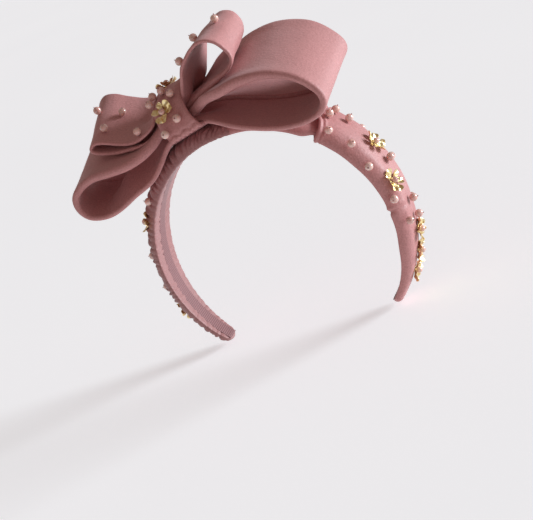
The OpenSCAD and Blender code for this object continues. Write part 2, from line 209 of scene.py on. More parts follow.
def tube_faces(rings, around, cap_start=True, cap_end=True, closed=False):
    """Faces of a tube of rings, each a closed loop of points."""
    faces = []
    last = rings if closed else rings - 1
    for i in range(last):
        k = ((i + 1) % rings) * around
        for j in range(around):
            n = (j + 1) % around
            faces.append((i * around + j, i * around + n, k + n, k + j))
    if not closed and cap_start:
        faces.append(tuple(range(around - 1, -1, -1)))
    if not closed and cap_end:
        faces.append(tuple((rings - 1) * around + j for j in range(around)))
    return faces


def tube(name, grid, along=None, closed=False, **caps):
    """An object from a grid of points, rings by around. along is each ring's distance."""
    rings, around = grid.shape[:2]
    step = np.linalg.norm(np.roll(grid, -1, axis=1) - grid, axis=2)
    across = np.concatenate([np.zeros((rings, 1)), step.cumsum(1)[:, :-1]], axis=1)
    if along is None:
        mid = grid.mean(axis=1)
        run = np.linalg.norm(np.diff(mid, axis=0), axis=1).cumsum()
        along = np.concatenate([[0], run])
    uvs = np.stack([np.repeat(np.asarray(along)[:, None], around, 1), across], axis=2)
    return add_mesh(name, grid.reshape(-1, 3), tube_faces(rings, around, closed=closed, **caps),
                    uvs.reshape(-1, 2))


def join(name, parts):
    """One object from several, given as (points, faces) in millimetres."""
    points, faces, start = [], [], 0
    for pts, fcs in parts:
        points.append(np.asarray(pts, float).reshape(-1, 3))
        faces += [tuple(i + start for i in f) for f in fcs]
        start += len(points[-1])
    return add_mesh(name, np.concatenate(points), faces)


def finish_piece(obj, material, body=None, replaces=()):
    obj.data.materials.clear()
    obj.data.materials.append(material)
    if body:
        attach(obj, body)
    if replaces:
        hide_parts(*replaces)
    return obj


def islands(node):
    """The separate solids of a CAD node, each as an array of points in millimetres."""
    mesh = frame["nodes"][node].data
    co = np.array([v.co for v in mesh.vertices]) / MM
    _, same = np.unique(np.round(co, 3), axis=0, return_inverse=True)
    same = same.ravel()
    parent = list(range(same.max() + 1))

    def root(i):
        while parent[i] != i:
            parent[i] = parent[parent[i]]
            i = parent[i]
        return i

    for poly in mesh.polygons:
        ids = [same[v] for v in poly.vertices]
        for other in ids[1:]:
            parent[root(other)] = root(ids[0])
    roots = np.array([root(i) for i in same])
    return [co[roots == r] for r in sorted(set(roots))]


def middle(points):
    return (points.min(0) + points.max(0)) / 2


THINNEST, LONGEST = 0, 2


def axis_of(points, which):
    """The direction in which a cloud of points is thinnest or longest."""
    return np.linalg.eigh(np.cov((points - points.mean(0)).T))[1][:, which]


def basis(normal, spin=0.0):
    """Rows of a frame whose third row is the normal, turned by spin radians about it."""
    n = unit(np.asarray(normal, float))
    side = unit(np.cross([0.0, 1.0, 0.0] if abs(n[1]) < 0.9 else [1.0, 0.0, 0.0], n))
    up = np.cross(n, side)
    c, s = math.cos(spin), math.sin(spin)
    return np.array([side * c + up * s, up * c - side * s, n])


# ---------------------------------------------------------------- materials

class Nodes:
    """Short hand for building a material's node tree."""

    def __init__(self, name):
        self.material = bpy.data.materials.new(name)
        self.material.use_nodes = True
        self.tree = self.material.node_tree
        self.shader = self.tree.nodes["Principled BSDF"]
        self.coords = self.add("ShaderNodeTexCoord")

    def add(self, kind, **values):
        node = self.tree.nodes.new(kind)
        for key, value in values.items():
            if hasattr(node, key):
                setattr(node, key, value)
            else:
                node.inputs[key.replace("_", " ").title()].default_value = value
        return node

    def link(self, a, b):
        self.tree.links.new(a, b)

    def noise(self, scale, detail, roughness=0.55):
        node = self.add("ShaderNodeTexNoise", Scale=scale, Detail=detail, Roughness=roughness)
        self.link(self.coords.outputs["Object"], node.inputs["Vector"])
        return node.outputs["Fac"]

    def stripes(self, scale, axis):
        node = self.add("ShaderNodeTexWave", wave_type="BANDS", bands_direction=axis, Scale=scale)
        self.link(self.coords.outputs["UV"], node.inputs["Vector"])
        return node.outputs["Fac"]

    def ramp(self, fac, stops):
        node = self.add("ShaderNodeValToRGB")
        while len(node.color_ramp.elements) < len(stops):
            node.color_ramp.elements.new(0.5)
        for element, (place, colour) in zip(node.color_ramp.elements, stops):
            element.position = place
            element.color = (*colour, 1)
        self.link(fac, node.inputs["Fac"])
        return node.outputs["Color"]

    def range(self, fac, low, high):
        node = self.add("ShaderNodeMapRange")
        node.inputs["To Min"].default_value = low
        node.inputs["To Max"].default_value = high
        self.link(fac, node.inputs["Value"])
        return node.outputs["Result"]

    def multiply(self, a, b):
        node = self.add("ShaderNodeMix", data_type="RGBA", blend_type="MULTIPLY")
        node.inputs[0].default_value = 1.0
        self.link(a, node.inputs[6])
        self.link(b, node.inputs[7])
        return node.outputs[2]

    def bumps(self, layers):
        """Chains bump layers, each (height socket, strength, distance in metres)."""
        normal = None
        for height, strength, distance in layers:
            node = self.add("ShaderNodeBump")
            node.inputs["Strength"].default_value = strength
            node.inputs["Distance"].default_value = distance
            self.link(height, node.inputs["Height"])
            if normal is not None:
                self.link(normal, node.inputs["Normal"])
            normal = node.outputs["Normal"]
        self.link(normal, self.shader.inputs["Normal"])

    def fixed(self, **values):
        for key, value in values.items():
            self.shader.inputs[key.replace("_", " ")].default_value = value


def tinted(colour, factor):
    return tuple(min(1.0, c * factor) for c in colour)


ROSE = (0.585, 0.255, 0.248)


def crepe(name, colour, sheen=0.22):
    """Matt dress crepe: a pebbled grain over a fine weave, with soft cloudy colour."""
    n = Nodes(name)
    cloud = n.ramp(n.noise(28, 2), [(0.3, tinted(colour, 0.95)), (0.7, tinted(colour, 1.05))])
    grain = n.ramp(n.noise(1100, 2), [(0.3, (0.78, 0.74, 0.74)), (0.7, (1.0, 1.0, 1.0))])
    n.link(n.multiply(cloud, grain), n.shader.inputs["Base Color"])
    n.link(n.range(n.noise(700, 2), 0.46, 0.64), n.shader.inputs["Roughness"])
    n.bumps([
        (n.noise(620, 3, 0.6), 0.8, 0.00034),
        (n.noise(1900, 2), 0.4, 0.00012),
    ])
    n.fixed(Sheen_Weight=sheen, Sheen_Roughness=0.45, Sheen_Tint=(1.0, 0.90, 0.93, 1),
            Specular_IOR_Level=0.62)
    return n.material


def ribbon_cloth(name, colour):
    """Grosgrain: fine ribs across the ribbon."""
    n = Nodes(name)
    ribs = n.stripes(260, "X")
    # Painted shade: the colour follows the ribs' height, darker in the hollows between ribs and slightly lighter
    # on their crests.
    shade = n.ramp(ribs, [(0.1, tinted(colour, 0.72)), (0.8, tinted(colour, 1.08))])
    cloud = n.ramp(n.noise(60, 2), [(0.3, (0.92, 0.92, 0.92)), (0.7, (1.0, 1.0, 1.0))])
    n.link(n.multiply(shade, cloud), n.shader.inputs["Base Color"])
    n.bumps([(ribs, 0.5, 0.0002), (n.noise(1600, 2), 0.3, 0.0001)])
    n.fixed(Roughness=0.62, Sheen_Weight=0.25, Sheen_Roughness=0.4)
    return n.material


def gilt():
    """Pale champagne gilt with hammered dents and warmer hollows."""
    n = Nodes("gilt_metal")
    tone = n.ramp(n.noise(420, 2), [(0.3, (0.70, 0.46, 0.18)), (0.5, (0.93, 0.76, 0.40)),
                                    (0.75, (1.0, 0.92, 0.66))])
    n.link(tone, n.shader.inputs["Base Color"])
    n.link(n.range(n.noise(900, 2), 0.24, 0.46), n.shader.inputs["Roughness"])
    n.bumps([(n.noise(700, 1), 0.5, 0.00006)])
    n.fixed(Metallic=1.0)
    return n.material


def pearl_skin():
    """Blush pearl: a soft glow under a clear lustre, each pearl a slightly different pink."""
    n = Nodes("pearl_lustre")
    tone = n.ramp(n.noise(90, 1), [(0.3, (0.75, 0.42, 0.36)), (0.5, (0.83, 0.53, 0.46)),
                                   (0.7, (0.90, 0.65, 0.58))])
    swirl = n.ramp(n.noise(450, 3), [(0.3, (0.90, 0.87, 0.87)), (0.7, (1.0, 1.0, 1.0))])
    n.link(n.multiply(tone, swirl), n.shader.inputs["Base Color"])
    n.link(n.range(n.noise(600, 2), 0.20, 0.34), n.shader.inputs["Roughness"])
    n.bumps([(n.noise(1200, 2), 0.08, 0.0001)])
    n.fixed(Coat_Weight=1.0, Coat_Roughness=0.05, Sheen_Weight=0.2, Sheen_Roughness=0.3,
            Subsurface_Weight=0.12, Subsurface_Scale=0.002, Specular_IOR_Level=0.6)
    return n.material


def plain_grained(name, colour, size, roughness, depth, metallic=0.0):
    """A hidden or minor material: mottled colour with a fine grain."""
    n = Nodes(name)
    tone = n.ramp(n.noise(size, 3), [(0.3, tinted(colour, 0.88)), (0.7, tinted(colour, 1.05))])
    n.link(tone, n.shader.inputs["Base Color"])
    n.link(n.range(n.noise(size * 2, 2), roughness - 0.08, roughness + 0.08),
           n.shader.inputs["Roughness"])
    n.bumps([(n.noise(size * 1.5, 2), 0.5, depth)])
    n.fixed(Metallic=metallic)
    return n.material


MAT = {
    "rose": crepe("rose_crepe", ROSE),
    # Painted shade: the gathered cover is the same rose crepe, darkened to 0.64 for the shade it lies in under the
    # bow.
    "ruched": crepe("ruched_crepe_painted_shade", tinted(ROSE, 0.64)),
    "lining": ribbon_cloth("lining_grosgrain", (0.26, 0.11, 0.115)),
    "gilt": gilt(),
    "pearl": pearl_skin(),
    "core": plain_grained("core_plastic", (0.80, 0.79, 0.75), 300, 0.45, 0.00005),
    "foam": plain_grained("padding_foam", (0.86, 0.82, 0.70), 900, 0.9, 0.0004),
    "buckram": plain_grained("buckram", (0.83, 0.80, 0.74), 1100, 0.85, 0.0002),
    "felt": plain_grained("base_felt", (0.42, 0.20, 0.205), 800, 0.92, 0.0003),
    "thread": plain_grained("sewing_thread", (0.52, 0.25, 0.25), 2500, 0.6, 0.0001),
}


# ---------------------------------------------------------------- camera, light and floor

CAM_AZIMUTH, CAM_ELEVATION, CAM_ROLL = map(math.radians, (24.0, 17.5, -22.0))
CAM_DISTANCE = 800.0
CAM_LENS = 92.42
CAM_OFFSET = (8.773, 12.425)


def camera_axes():
    """Right, up and back directions of the camera."""
    a, e, r = CAM_AZIMUTH, CAM_ELEVATION, CAM_ROLL
    back = np.array([math.sin(a) * math.cos(e), -math.cos(a) * math.cos(e), math.sin(e)])
    right = np.array([math.cos(a), math.sin(a), 0.0])
    up = np.cross(back, right)
    return (math.cos(r) * right + math.sin(r) * up, math.cos(r) * up - math.sin(r) * right, back)


def make_camera():
    right, up, back = camera_axes()
    place = back * CAM_DISTANCE - CAM_OFFSET[0] * right - CAM_OFFSET[1] * up
    camera = bpy.data.objects.new("camera", bpy.data.cameras.new("camera"))
    camera.data.lens = CAM_LENS
    camera.data.clip_start, camera.data.clip_end = 0.05, 20
    turn = Matrix(np.stack([right, up, back], axis=1).tolist()).to_4x4()
    camera.matrix_world = Matrix.Translation((place * MM).tolist()) @ turn
    bpy.context.scene.collection.objects.link(camera)
    bpy.context.scene.camera = camera


def aim_light(light, towards):
    """A light from the direction given by (right, up, back) shares of the camera's axes."""
    right, up, back = camera_axes()
    way = unit(towards[0] * right + towards[1] * up + towards[2] * back)
    lamp = bpy.data.objects.new(light.name, light)
    lamp.location = way.tolist()
    lamp.rotation_mode = "QUATERNION"
    lamp.rotation_quaternion = Vector((-way).tolist()).to_track_quat("-Z", "Y")
    bpy.context.scene.collection.objects.link(lamp)


FLOOR_HALF = 4000.0
FLOOR_GAP = 0.6                   # how far the floor lies under the lowest point
KEY_WAY = (0.86, 0.55, 0.02)      # towards the key light: right, up and back in the picture
SKY = (1.0, 0.80, 0.72, 1)


def make_studio():
    low = CAD_BOX[0].z / MM - FLOOR_GAP
    corners = [(x * FLOOR_HALF, y * FLOOR_HALF, low) for x, y in ((-1, -1), (1, -1), (1, 1), (-1, 1))]
    floor = add_mesh("floor", corners, [(0, 1, 2, 3)])
    n = Nodes("floor_paper")
    n.link(n.ramp(n.noise(3, 2), [(0.2, (0.86, 0.86, 0.87)), (0.8, (0.90, 0.90, 0.905))]),
           n.shader.inputs["Base Color"])
    n.bumps([(n.noise(900, 2), 0.1, 0.0001)])
    n.fixed(Roughness=0.85, Emission_Color=(0.95, 1.0, 1.05, 1), Emission_Strength=0.42)
    floor.data.materials.append(n.material)
    key = bpy.data.lights.new("key", "SUN")
    key.energy, key.angle, key.color = 3.9, math.radians(28), (0.92, 1.0, 1.06)
    aim_light(key, KEY_WAY)
    world = bpy.data.worlds.new("studio")
    world.use_nodes = True
    sky = world.node_tree.nodes["Background"]
    sky.inputs["Color"].default_value = SKY
    sky.inputs["Strength"].default_value = 0.28
    bpy.context.scene.world = world
    bpy.context.scene.view_settings.view_transform = "Standard"


# ---------------------------------------------------------------- bow loops

def edge_spaced(count, width, edge, seam=None):
    """Shares of a width from 0 to 1, close together at each side and at the seam."""
    near = (1 - np.cos(np.linspace(0, math.pi / 2, 7))) * edge / width
    mid = np.linspace(near[-1], 1 - near[-1], count)[1:-1]
    if seam is not None:
        close = seam + 0.03 * np.linspace(-1, 1, 21)
        mid = np.sort(np.concatenate([mid[np.abs(mid - seam) > 0.032], close]))
    return np.concatenate([near, mid, 1 - near[::-1]])


def loop_grid(rims, thick, rolled, steps, across, shape, seam=None):
    """Rings of a loop's soft folded tube.

    thick and rolled give the thickness in the middle and at the rolled edges for t, v arrays.
    shape moves the middle surface: it is given t, v, the distance along and the surface.
    """
    t = np.linspace(0, 1, steps)
    front, back = spline(rims[0], t), spline(rims[1], t)
    run = np.concatenate([[0], np.linalg.norm(np.diff((front + back) / 2, axis=0), axis=1).cumsum()])
    width = np.linalg.norm(back - front, axis=1)
    v = edge_spaced(across, width.mean(), 4.0, seam)
    tt, vv = np.meshgrid(t, v, indexing="ij")
    ss = np.repeat(run[:, None], len(v), 1)
    mid = front[:, None] * (1 - vv[..., None]) + back[:, None] * vv[..., None]
    normal = surface_normals(mid)
    mid = mid + normal * shape(tt, vv, ss, run[-1])[..., None]
    normal = surface_normals(mid)
    d = np.minimum(vv, 1 - vv) * width[:, None]
    edge_r = rolled(tt, vv) * 0.5
    round_off = np.sqrt(np.clip(1 - (1 - np.minimum(d / edge_r, 1)) ** 2, 0, 1))
    body = thick(tt, vv) * 0.5
    h = round_off * (body + (edge_r - body) * np.exp(-(np.maximum(d - edge_r, 0) / 7.0) ** 2))
    return mid, normal, h, tt, vv, ss


def surface_normals(grid):
    along = np.gradient(grid, axis=0)
    over = np.gradient(grid, axis=1)
    return unit(np.cross(along, over))


def loop_rings(mid, normal, up, down):
    """Outer and inner faces joined into closed rings."""
    top = mid + normal * up[..., None]
    low = mid - normal * down[..., None]
    return np.concatenate([top, low[:, -2:0:-1]], axis=1)


def near_ends(s, total, reach):
    """1 at the knot, falling to 0 at reach along the strip from either end."""
    return np.exp(-(s / reach) ** 2) + np.exp(-((total - s) / reach) ** 2)


def pleats(v, s, total, count, height, reach, seed):
    """Soft gathers that run out from the knot and die away."""
    drift = 0.9 * np.sin(s / 14.0 + seed) + 0.3 * seed
    return height * near_ends(s, total, reach) * np.cos(2 * math.pi * count * v + drift)


def seam_lap(v, place, depth):
    """A lapped seam inside a loop: one part lies over the other and shades it.

    With depth above 0 the back part is the upper one, below 0 the front part.
    """
    side = np.sign(depth) * (v - place)
    step = smoothstep(-0.005, 0.005, side)
    return abs(depth) * (step * bump_at(side, 0.0, 0.20) - 0.9 * bump_at(side, -0.009, 0.010))


def make_large_loop(name, rims, side, seed, seam, lap, tilt):
    """A large loop; side is 1 where its surface normals point out of it, and -1 where in.

    seam and lap are the place and depth of the seam inside it. tilt is the height of a soft
    fold that turns the lower strand's front part outwards.
    """
    def shape(t, v, s, total):
        away = 1 - near_ends(s, total, 20)
        low = 0.5 * wobble_over(s, v * 40, 34.0, seed) * away
        crest = np.clip(0.20 + 1.4 * (t - 0.67), 0.15, 0.6)
        ridge = np.where(v < crest, v / crest, np.exp(-((v - crest) / 0.06) ** 2))
        fold = tilt * ridge * smoothstep(0.64, 0.76, t) * smoothstep(0.99, 0.90, t)
        return pleats(v, s, total, 2.6, 1.3, 20.0, seed) + low + fold

    def thick(t, v):
        return 3.4 - 0.6 * smoothstep(0.45, 0.6, t)

    def rolled(t, v):
        top = 5.8 - 1.6 * smoothstep(0.15, 0.5, t)
        return top - 1.2 * smoothstep(0.5, 0.62, t)

    mid, normal, h, t, v, s = loop_grid(rims, thick, rolled, 200, 40, shape, seam)
    fine = 0.05 * wobble_over(s, v * 76, 6.0, seed + 3)
    outside = h + fine * (h > 1)
    inside = h + (fine + seam_lap(v, seam, lap)) * (h > 1)
    up, down = (outside, inside) if side > 0 else (inside, outside)
    grid = loop_rings(mid, normal, up, down)
    finish_loop(name, grid, mid, s, normal, 0.5)


def finish_loop(node, grid, mid, s, normal, inside_thick):
    """Makes a loop's fabric and the strip inside it; the cut is the strip when folded flat."""
    fabric = tube(node + "_fabric", grid, along=s[:, 0])
    finish_piece(fabric, MAT["rose"], "crown", [node])
    strip = make_stiffener(node.replace("loop", "stiffener"), mid, normal, inside_thick)


def make_stiffener(node, mid, normal, thick):
    """The buckram strip inside a loop, on the same middle surface."""
    inset = slice(9, -9)
    m, n = mid[2:-2:2, inset], normal[2:-2:2, inset]
    flat = np.full(m.shape[:2], thick / 2)
    strip = tube("buckram_" + node, loop_rings(m, n, flat, flat))
    return finish_piece(strip, MAT["buckram"], "crown", [node])


def make_small_loop(name, rims, side, seed, dimple=0.0, slit_depth=0.0):
    """A small loop; side is 1 where its lower front edge is rolled thicker.

    dimple is the depth of a dent in its upper strand, slit_depth of a hollow in the lower one.
    """
    def shape(t, v, s, total):
        low = 0.45 * wobble_over(s, v * 50, 18.0, seed)
        dent = dimple * bump_at(t, 0.20, 0.045) * bump_at(v, 0.55, 0.17)
        slit = slit_depth * bump_at(v, 0.16, 0.10) * bump_at(t, 0.84, 0.09)
        return pleats(v, s, total, 1.8, 1.1, 15.0, seed) + low + dent - slit

    def thick(t, v):
        return np.full_like(t, 1.7)

    def rolled(t, v):
        return 2.0 + 2.2 * smoothstep(0.62, 0.85, t) * (v < 0.5) * (side > 0)

    mid, normal, h, t, v, s = loop_grid(rims, thick, rolled, 170, 34, shape)
    fine = 0.08 * wobble_over(s, v * 50, 4.0, seed + 5)
    grid = loop_rings(mid, normal, h + fine * (h > 0.6), h)
    finish_loop(name, grid, mid, s, normal, 0.4)


# ---------------------------------------------------------------- band

def band_half(angle, extra=0.0):
    """Half the width of the covered band at an angle."""
    share = np.maximum(np.cos(np.radians(90 * np.abs(angle - 90) / FULL_ARC)), 0) ** 0.8
    return (TIP_W + (CROWN_W - TIP_W) * share) / 2 + extra


def reach_of(angle, circle):
    """Outer radius of the padded band, along its middle."""
    rad = np.radians(angle)
    return circle[2] + circle[0] * np.cos(rad) + circle[1] * np.sin(rad)


def band_point(angle, radius, y):
    rad = np.radians(angle)
    return np.stack([radius * np.cos(rad), y, radius * np.sin(rad)], axis=-1)


def section(count, top=2.4, bottom=6.0):
    """A padded section: shares of half width, and of height above and below its widest line."""
    th = np.linspace(0, 2 * math.pi, count, endpoint=False)
    c, s = np.cos(th), np.sin(th)
    power = np.where(s >= 0, 2 / top, 2 / bottom)
    return np.sign(c) * np.abs(c) ** power, np.sign(s) * np.abs(s) ** power


def band_rings(angles, circle, count, inner, grow=0.0, width_extra=0.0, waist=0.28,
               close=(False, False), squeeze=None):
    """Rings of points of a padded loft between two angles.

    close rounds off the first and last end; squeeze scales the section at each angle.
    """
    side, height = section(count)
    outer = reach_of(angles, circle) + grow
    half = band_half(angles, width_extra)
    low = np.full_like(outer, inner)
    run = np.radians(np.abs(angles - angles[0])) * ARM_R
    scale = np.ones_like(outer)
    for rounded, from_end in zip(close, (run, run[-1] - run)):
        if rounded:
            inward = np.minimum(from_end / TIP_ROUND, 1)
            scale *= np.sqrt(np.clip(1 - (1 - inward) ** 2, 0.02, 1))
    if squeeze is not None:
        scale = scale * squeeze
    mid = low + (outer - low) * waist
    up = (outer - mid) * scale
    down = (mid - low) * scale
    y = side[None] * (half * scale)[:, None]
    radius = mid[:, None] + np.where(height >= 0, height[None] * up[:, None],
                                     height[None] * down[:, None])
    return band_point(np.repeat(angles[:, None], count, 1), radius, y)


def hang(grid, reach, fade):
    """Lets the near lower edge hang inwards and forwards, as it does on a rounded head.

    reach is the largest move each way, in millimetres, and fade scales it for each ring.
    """
    inwards, forwards = reach[0] * fade, reach[1] * fade
    radius = np.linalg.norm(grid[..., [0, 2]], axis=-1)
    out = (radius - radius.min(1, keepdims=True)) / np.ptp(radius, axis=1)[:, None]
    front = -grid[..., 1] / np.abs(grid[..., 1]).max(1, keepdims=True)
    share = smoothstep(0.25, 1.0, front) * smoothstep(0.95, 0.15, out)
    scale = 1 - inwards[:, None] * share / radius
    move = np.stack([scale, np.ones_like(scale), scale], -1)
    return grid * move - np.array([0, 1, 0]) * (forwards[:, None] * share)[..., None]


def ring_normals(grid):
    """Outward normals of a tube of rings."""
    along = np.gradient(grid, axis=0)
    over = (np.roll(grid, -1, axis=1) - np.roll(grid, 1, axis=1))
    normal = unit(np.cross(over, along))
    out = grid - grid.mean(axis=1, keepdims=True)
    flip = np.sign(np.sum(normal * out, axis=(1, 2)))
    return normal * flip[:, None, None]


def trim_centres(*nodes):
    return [middle(p) for n in nodes for p in islands(n)]


def dimples(grid, centres, depth, size, flat=1.5, most=1.3):
    """Dents in a surface round each sewn trim, flat under it and up to most times the depth."""
    dent = np.zeros(grid.shape[:2])
    for centre in centres:
        d = np.linalg.norm(grid - centre, axis=2)
        dent += np.exp(-(np.maximum(d - flat, 0) / size) ** 2)
    return -depth * np.minimum(dent, most)


CREPE_CLOTH = {"quality": 6, "mass": 0.15, "tension_stiffness": 18, "compression_stiffness": 18,
               "shear_stiffness": 6, "bending_stiffness": 0.6, "use_pressure": True}


def swell(obj, held, pressure, cap, steps=16):
    """Inflates a padded cover like a stuffed cloth, held at its stitches, and keeps the result.

    held gives 0 to 1 for each point; no point moves more than cap millimetres.
    """
    scene = bpy.context.scene
    rest = np.array([v.co for v in obj.data.vertices])
    group = obj.vertex_groups.new(name="stitches")
    for i, weight in enumerate(held):
        if weight > 0.02:
            group.add([i], float(min(weight, 1)), "REPLACE")
    cloth = obj.modifiers.new("cloth", "CLOTH")
    for key, value in CREPE_CLOTH.items():
        setattr(cloth.settings, key, value)
    cloth.settings.uniform_pressure_force = pressure
    cloth.settings.vertex_group_mass = "stitches"
    cloth.settings.effector_weights.gravity = 0
    cloth.collision_settings.use_collision = False
    cloth.point_cache.frame_end = steps + 2
    for i in range(1, steps + 1):
        scene.frame_set(i)
    graph = bpy.context.evaluated_depsgraph_get()
    shaped = obj.evaluated_get(graph)
    moved = np.array([v.co for v in shaped.data.vertices]) - rest
    obj.modifiers.remove(cloth)
    scene.frame_set(1)
    length = np.linalg.norm(moved, axis=1, keepdims=True)
    moved *= np.minimum(1, cap * MM / np.maximum(length, 1e-9))
    obj.data.vertices.foreach_set("co", (rest + moved).ravel())
    obj.vertex_groups.remove(group)
    obj.data.update()


def slanted(grid, angles, end, front, back):
    """Swings a cover's end by front and back degrees at its two sides, so the cut slants."""
    share = grid[..., 1] / np.abs(grid[..., 1]).max(1, keepdims=True)
    turn = front * smoothstep(0.0, 1.0, -share) + back * smoothstep(0.0, 1.0, share)
    turn = np.radians(turn * smoothstep(end - 16, end, angles)[:, None])
    c, s = np.cos(turn), np.sin(turn)
    x, z = grid[..., 0], grid[..., 2]
    return np.stack([x * c - z * s, grid[..., 1], x * s + z * c], -1)


def make_sleeve():
    """The near arm's padded sleeve, with a slanting rolled cuff at its upper end."""
    angles = np.concatenate([RIGHT_TIP - 1.0 + np.array([0, 0.08, 0.3, 0.7, 1.2, 1.8, 2.5, 3.3]),
                             np.linspace(RIGHT_TIP + 3.3, CUFF - 5.5, 150),
                             np.linspace(CUFF - 5.2, CUFF, 24)])
    count = 64
    grid = band_rings(angles, PAD_RIGHT, count, PAD_IN, close=(True, False))
    fade = smoothstep(RIGHT_TIP + 2, RIGHT_TIP + 32, angles)
    grid = slanted(hang(grid, SLEEVE_HANG, fade), angles, CUFF, -4.2, -1.0)
    normal = ring_normals(grid)
    aa = np.repeat(angles[:, None], count, 1)
    near = smoothstep(0.3, 0.9, -grid[..., 1] / band_half(aa))
    roll = 0.6 * bump_at(aa, CUFF - 0.7, 0.8)
    hem = 0.55 * bump_at(aa, CUFF - 3.1, 0.7) - 0.45 * bump_at(aa, CUFF - 1.9, 0.5)
    hem = hem * (1 - 0.7 * near)
    seam = -0.5 * bump_at(aa, RIGHT_TIP + 3.0, 0.35)
    notch = (0.5 * bump_at(aa, 4.6, 1.0) - 1.1 * bump_at(aa, 2.9, 0.8)) * near
    pull = 0.3 * wobble_over(aa * 0.55, grid[..., 1] * 1.6, 8.0, 4)
    dent = dimples(grid, trim_centres("pearls_right_arm", "flower_pearls_right_arm"), 0.5, 3.2)
    grid = grid + normal * (roll + hem + seam + notch + pull + dent)[..., None]
    last, before = grid[-1], grid[-3]
    centre = last.mean(0)
    beyond = last - before
    lip = last + (centre - last) * 0.10
    under = before + (before.mean(0) - before) * 0.14
    turned = np.stack([last * 0.7 + lip * 0.3 + beyond * 0.5, lip + beyond * 0.4,
                       (lip + under) / 2, grid[-9] + (grid[-9].mean(0) - grid[-9]) * 0.14])
    whole = np.concatenate([grid, turned])
    sleeve = tube("sleeve", whole, cap_end=True)
    finish_piece(sleeve, MAT["rose"], None,
                 ["sleeve_right", "sleeve_hem", "tip_fold_right"])
    held = np.zeros((len(whole), count))
    held[:10] = 1
    held[-26:] = 1
    held[:, np.arange(count) > count // 2] = 1
    held[:len(grid)] = np.maximum(held[:len(grid)], np.minimum(1, -dent / 0.4))
    swell(sleeve, held.ravel(), 3.0, 1.0)
    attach(sleeve, "arm_right")


def make_centre_wrap():
    """Plain fabric between the near arm's cuff and the ruched part."""
    lower_end = RIGHT_FLEX - WRAP_IN_CUFF
    angles = np.linspace(lower_end, RUCHE_START + 3, 70)
    count = 56
    inside_cuff = smoothstep(RIGHT_FLEX + 2, lower_end, angles)
    grid = band_rings(angles, PAD_LOW, count, PAD_IN, squeeze=0.98 - 0.14 * inside_cuff)
    open_to = smoothstep(RIGHT_FLEX - 3, RIGHT_FLEX + 4, angles)
    grid = hang(grid, COVER_HANG, open_to)
    normal = ring_normals(grid)
    aa = np.repeat(angles[:, None], count, 1)
    drape = 0.3 * wobble_over(aa * 0.8, grid[..., 1] * 0.8, 6.0, 9)
    grid = grid + normal * drape[..., None]
    wrap = tube("centre_wrap_cover", grid)
    finish_piece(wrap, MAT["rose"], "crown", ["centre_wrap"])


def folds(angle, y, seed=0):
    """Height of the gathered folds: round crests and sharp valleys that wander and slant."""
    along = np.radians(angle) * 79
    low = np.stack([along, y * 0.55, np.zeros_like(y)], -1)
    slant = 0.75 * y * bump_at(angle, 94, 14) + 0.12 * y
    drift = 3.0 * wobble(low, 15.0, seed) + 1.2 * wobble(low, 6.5, seed + 1)
    first = np.abs(np.cos(math.pi * (along + slant + drift) / 4.4)) ** 0.7 - 0.55
    second = np.abs(np.cos(math.pi * (along - slant + 1.4 * drift) / 7.3)) ** 0.8 - 0.55
    fine = np.abs(np.cos(math.pi * (along + 0.3 * y + 2.0 * drift) / 2.3)) - 0.6
    share = 0.5 + 0.5 * wobble(low, 11.0, seed + 2)
    return (1.7 * first * np.clip(share + 0.25, 0.25, 1) + 0.8 * second
            + 0.45 * fine * np.clip(1.2 - share, 0.2, 1))


def make_ruched_cover():
    """Gathered fabric from under the bow to the far arm's tip, in one piece."""
    angles = np.concatenate([np.linspace(RUCHE_START, LEFT_TIP - 3.5, 460),
                             LEFT_TIP + 1.0 - np.array([3.3, 2.5, 1.8, 1.2, 0.7, 0.3, 0.08, 0])])
    count = 76
    full = 2.4 * smoothstep(96, 106, angles) * smoothstep(164, 140, angles) - 0.2
    grid = band_rings(angles, PAD_LOW, count, PAD_IN, grow=full, close=(False, True))
    fade = smoothstep(LEFT_TIP - 2, LEFT_TIP - 32, angles)
    grid = hang(grid, COVER_HANG, fade)
    normal = ring_normals(grid)
    aa = np.repeat(angles[:, None], count, 1)
    off_lining = smoothstep(75.5, 78.0, np.linalg.norm(grid[..., [0, 2]], axis=-1))
    start = smoothstep(RUCHE_START - 0.5, RUCHE_START + 2.5, aa)
    end = smoothstep(LEFT_TIP + 1, LEFT_TIP - 4, aa)
    height = folds(aa, grid[..., 1]) * (0.25 + 0.75 * off_lining) * start * end
    dent = dimples(grid, trim_centres("pearls_left_arm", "flower_pearls_left_arm"), 0.5, 3.0)
    grid = grid + normal * (height + dent)[..., None]
    cover = tube("ruched_cover", grid)
    # The ruched material is the rose crepe darkened as painted shade, not a darker cloth.
    finish_piece(cover, MAT["ruched"], None,
                 ["ruched_cover_crown", "ruched_cover_left", "tip_fold_left"])
    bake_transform(cover)


def make_lining():
    """The ribbon against the head, in two lengths that meet at the top."""
    count = 24
    th = np.linspace(0, 2 * math.pi, count, endpoint=False)
    for name, start, end, arm, flex, nodes in (
            ("lining_ribbon_right", RIGHT_TIP, 90.0, "arm_right", RIGHT_FLEX,
             ["lining_right", "lining_crown"]),
            ("lining_ribbon_left", LEFT_TIP, 90.0, "arm_left", LEFT_FLEX,
             ["lining_left", "lining_crown"])):
        angles = np.linspace(start, end, 120)
        y = np.sign(np.cos(th)) * np.abs(np.cos(th)) ** 0.35 * LINING_W / 2
        r = HEAD_R + 0.15 + np.sin(th) * 0.27
        aa, yy = np.meshgrid(angles, y, indexing="ij")
        ripple = 0.12 * wobble_over(aa, yy, 5.0, 6)
        grid = band_point(aa, r[None] + np.abs(ripple), yy)
        ribbon = tube(name, grid)
        finish_piece(ribbon, MAT["lining"], None, nodes)
        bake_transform(ribbon)


